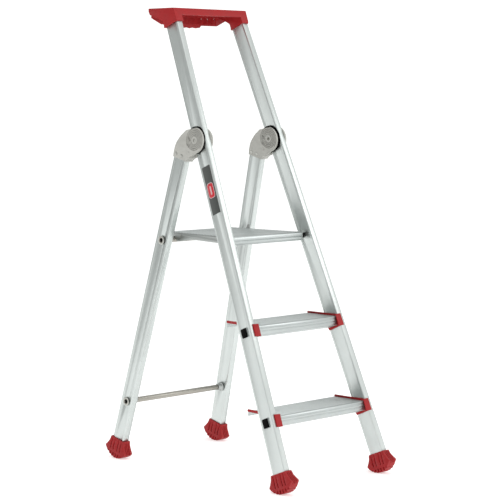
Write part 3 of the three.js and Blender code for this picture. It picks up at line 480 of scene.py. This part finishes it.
# The friction washer on the left of each stile is black as painted shade of the shaded gap beside the
# cheek; the one on its right is grey, its own colour.
zinc_plate = plated_steel("zinc_plated_turned_steel", "#c4c4be", 0.32)
for side, sign in (("left", -1), ("right", 1)):
    for face, out in (("outer", 1), ("inner", -1)):
        cheek = take_copy(f"{side}_hinge_cheek_{face}")
        carve(cheek, cheek_tool(sign, out))
        break_edges(cheek, 0.7 * MM)
        stand_for(cheek, f"{side}_hinge_cheek_{face}", grey_moulding)
        ridges = ring_sweep(sign, out, f"{side}_{face}_cheek_ridges", BEAD)
        for bead_face in ridges.data.polygons:
            bead_face.use_smooth = True
        ridges.data.materials.append(grey_moulding)
        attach(ridges, "rear_frame")
        # Dark bands of painted shade in the valleys between the ridges.
        valleys = ring_sweep(sign, out, f"{side}_{face}_cheek_valley_shade", VALLEY)
        valleys.data.materials.append(painted_valley_shade)
        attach(valleys, "rear_frame")
        washer = take_copy(f"{side}_hinge_washer_{face}")
        break_edges(washer, 0.3 * MM)
        # Black on the washer at the stile's left is painted shade; grey is the washer's own colour.
        if sign * out < 0:
            stand_for(washer, f"{side}_hinge_washer_{face}", black_nylon_and_painted_shade)
        else:
            stand_for(washer, f"{side}_hinge_washer_{face}", grey_moulding)
    for node in (f"{side}_pivot_pin", f"{side}_hinge_rivet_1", f"{side}_hinge_rivet_2"):
        pin = take_copy(node)
        break_edges(pin, 0.3 * MM)
        stand_for(pin, node, zinc_plate)


# ---- Label and badge -------------------------------------------------------------------
# A dark vinyl foil stuck on the left stile, with a small domed resin badge on it. Neither
# carries print; the badge has a raised pale rim and an empty bar.
label_foil = moulded_plastic("satin_dark_vinyl_foil", "#454846", 0.4, 900, 0.1)
badge_foil = moulded_plastic("domed_red_resin_badge", "#cf2431", 0.3, 900, 0.05)
for node, slot, skin in (
    ("stile_label", "label_foil", label_foil),
    ("stile_badge", "badge_foil", badge_foil),
):
    sticker = take_copy(node)
    break_edges(sticker, 0.15 * MM)
    stand_for(sticker, node, skin)


# A point of the front frame: u outwards from the stile's middle, v rearwards, s up it.
STILE_LINE = (0.2013, -0.358706, 0.000112)
STILE_DRAW_IN = 0.0508
BADGE_S, BADGE_FACE, CORNER_STEPS = 0.877, 0.01115, 6


def stile_point(side, u, v, s):
    return Vector(
        (
            side * (STILE_LINE[0] - STILE_DRAW_IN * s + u),
            STILE_LINE[1] + s * math.sin(FRONT_LEAN) + v * math.cos(FRONT_LEAN),
            STILE_LINE[2] + s * math.cos(FRONT_LEAN) - v * math.sin(FRONT_LEAN),
        )
    )


# A rectangle with round corners, as points (v, s) round its middle.
def pill_outline(half_v, half_s, corner):
    points = []
    for quarter, (a, b) in enumerate(((1, 1), (-1, 1), (-1, -1), (1, -1))):
        for step in range(CORNER_STEPS + 1):
            angle = (quarter + step / CORNER_STEPS) * math.pi / 2
            v = a * (half_v - corner) + corner * math.cos(angle)
            points.append((v, b * (half_s - corner) + corner * math.sin(angle)))
    return points


# A flat band between two outlines, standing on the badge's face.
def raised_band(name, outer, inner, rise, face):
    mesh = bmesh.new()
    loops = []
    for outline, u in ((outer, face), (outer, face + rise), (inner, face + rise), (inner, face)):
        loops.append([mesh.verts.new(stile_point(-1, u, v, BADGE_S + s)) for v, s in outline])
    count = len(loops[0])
    for one, two in zip(loops, loops[1:] + loops[:1]):
        for k in range(count):
            mesh.faces.new((one[k], one[(k + 1) % count], two[(k + 1) % count], two[k]))
    return new_piece(name, mesh)


badge_rim_foil = moulded_plastic("pale_silver_printed_rim", "#e3c6c8", 0.35, 900, 0.05)
rim_outside = pill_outline(0.0132, 0.0222, 0.0082)
rim_inside = pill_outline(0.0117, 0.0207, 0.0068)
rim = raised_band("badge_rim", rim_outside, rim_inside, 0.0004, BADGE_FACE - 0.0002)
bar_outside = pill_outline(0.0026, 0.0125, 0.0024)
bar_inside = pill_outline(0.0004, 0.0100, 0.0003)
bar = raised_band("badge_bar", bar_outside, bar_inside, 0.0003, BADGE_FACE - 0.0001)
for trim in (rim, bar):
    trim.data.materials.append(badge_rim_foil)
    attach(trim, "front_frame")


# ---- Cross tubes -----------------------------------------------------------------------
# Round drawn aluminium tubes between the legs, turned over steel rings at the outer faces
# and closed by black plugs. The lower tube has a pressed collar on each side.
tube_metal = anodised_extruded_aluminium(
    "anodised_drawn_aluminium_tube", 0.0, "#aeaaa2", 0.4, ALONG_X
)
# Pressed sheet left as rolled: the same satin metal, duller, with its lines front to back.
pressed_metal = anodised_extruded_aluminium(
    "pressed_mill_aluminium", 0.0, "#b9bcba", 0.42, ALONG_Y
)
for step in ("upper", "lower"):
    tube = take_copy(step + "_cross_tube")
    break_edges(tube, 0.2 * MM)
    stand_for(tube, step + "_cross_tube", tube_metal)
    for side in ("left", "right"):
        ring = take_copy(f"{side}_{step}_tube_ring")
        break_edges(ring, 0.4 * MM)
        stand_for(ring, f"{side}_{step}_tube_ring", zinc_plate)
        stopper = take_copy(f"{side}_{step}_tube_plug")
        break_edges(stopper, 0.4 * MM)
        stand_for(stopper, f"{side}_{step}_tube_plug", black_nylon_and_painted_shade)
for side in ("left", "right"):
    collar = take_copy(f"{side}_lower_tube_collar")
    break_edges(collar, 0.3 * MM)
    stand_for(collar, f"{side}_lower_tube_collar", pressed_metal)


# ---- Platform --------------------------------------------------------------------------
# A ribbed deck and a rounded nosing, both extruded, riveted between two pressed brackets.
# The brackets turn on steel pins in the stiles and hook over the upper cross tube.
for node in ("platform_deck", "platform_nosing"):
    plank = take_copy(node)
    break_edges(plank, 0.3 * MM)
    stand_for(plank, node, tread_metal)
for side in ("left", "right"):
    bracket = take_copy(f"{side}_platform_bracket")
    break_edges(bracket, 0.4 * MM)
    stand_for(bracket, f"{side}_platform_bracket", pressed_metal)
    spacer = take_copy(f"{side}_platform_spacer")
    break_edges(spacer, 0.4 * MM)
    stand_for(spacer, f"{side}_platform_spacer", black_nylon_and_painted_shade)
    for node in (f"{side}_platform_pin", f"{side}_platform_rivet_1", f"{side}_platform_rivet_2"):
        rivet = take_copy(node)
        break_edges(rivet, 0.3 * MM)
        stand_for(rivet, node, zinc_plate)


# ---- Tool tray -------------------------------------------------------------------------
# One large red polypropylene moulding with a shallow well, pushed over the stile tops.
# It has the feet's texture and colour, and wider rounded edges.
tray = take_copy("top_tray")
break_edges(tray, 1.2 * MM)
stand_for(tray, "top_tray", red_moulding)

# Upright stiffening ribs on the apron's inner face, at a pitch of about 5.5 mm.
APRON_FACE, RIB_PITCH = 0.243294, 5.5 * MM
RIB_LOW, RIB_HIGH = 1.2905, 1.3125
RIB_ROOT_HALF, RIB_TIP_HALF, RIB_SINK, RIB_STAND = 0.8 * MM, 0.4 * MM, 0.2 * MM, 0.9 * MM
# No rib stands where the apron has a slot.
SLOT_PLACES, SLOT_ROOM = (0.048, 0.073, 0.099), 0.003
rib_mesh = bmesh.new()
for place in range(-19, 20):
    x = place * RIB_PITCH
    if min(abs(abs(x) - slot_x) for slot_x in SLOT_PLACES) < SLOT_ROOM:
        continue
    root, tip = APRON_FACE + RIB_SINK, APRON_FACE - RIB_STAND
    ring = [(x - RIB_ROOT_HALF, root), (x + RIB_ROOT_HALF, root)]
    ring += [(x + RIB_TIP_HALF, tip), (x - RIB_TIP_HALF, tip)]
    bottom = [rib_mesh.verts.new((a, b, RIB_LOW)) for a, b in ring]
    top = [rib_mesh.verts.new((a, b, RIB_HIGH)) for a, b in ring]
    rib_mesh.faces.new(bottom)
    rib_mesh.faces.new(top)
    for k in range(4):
        rib_mesh.faces.new((bottom[k], bottom[(k + 1) % 4], top[(k + 1) % 4], top[k]))
ribs = new_piece("tray_apron_ribs", rib_mesh)
ribs.data.materials.append(red_moulding)
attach(ribs, "front_frame")
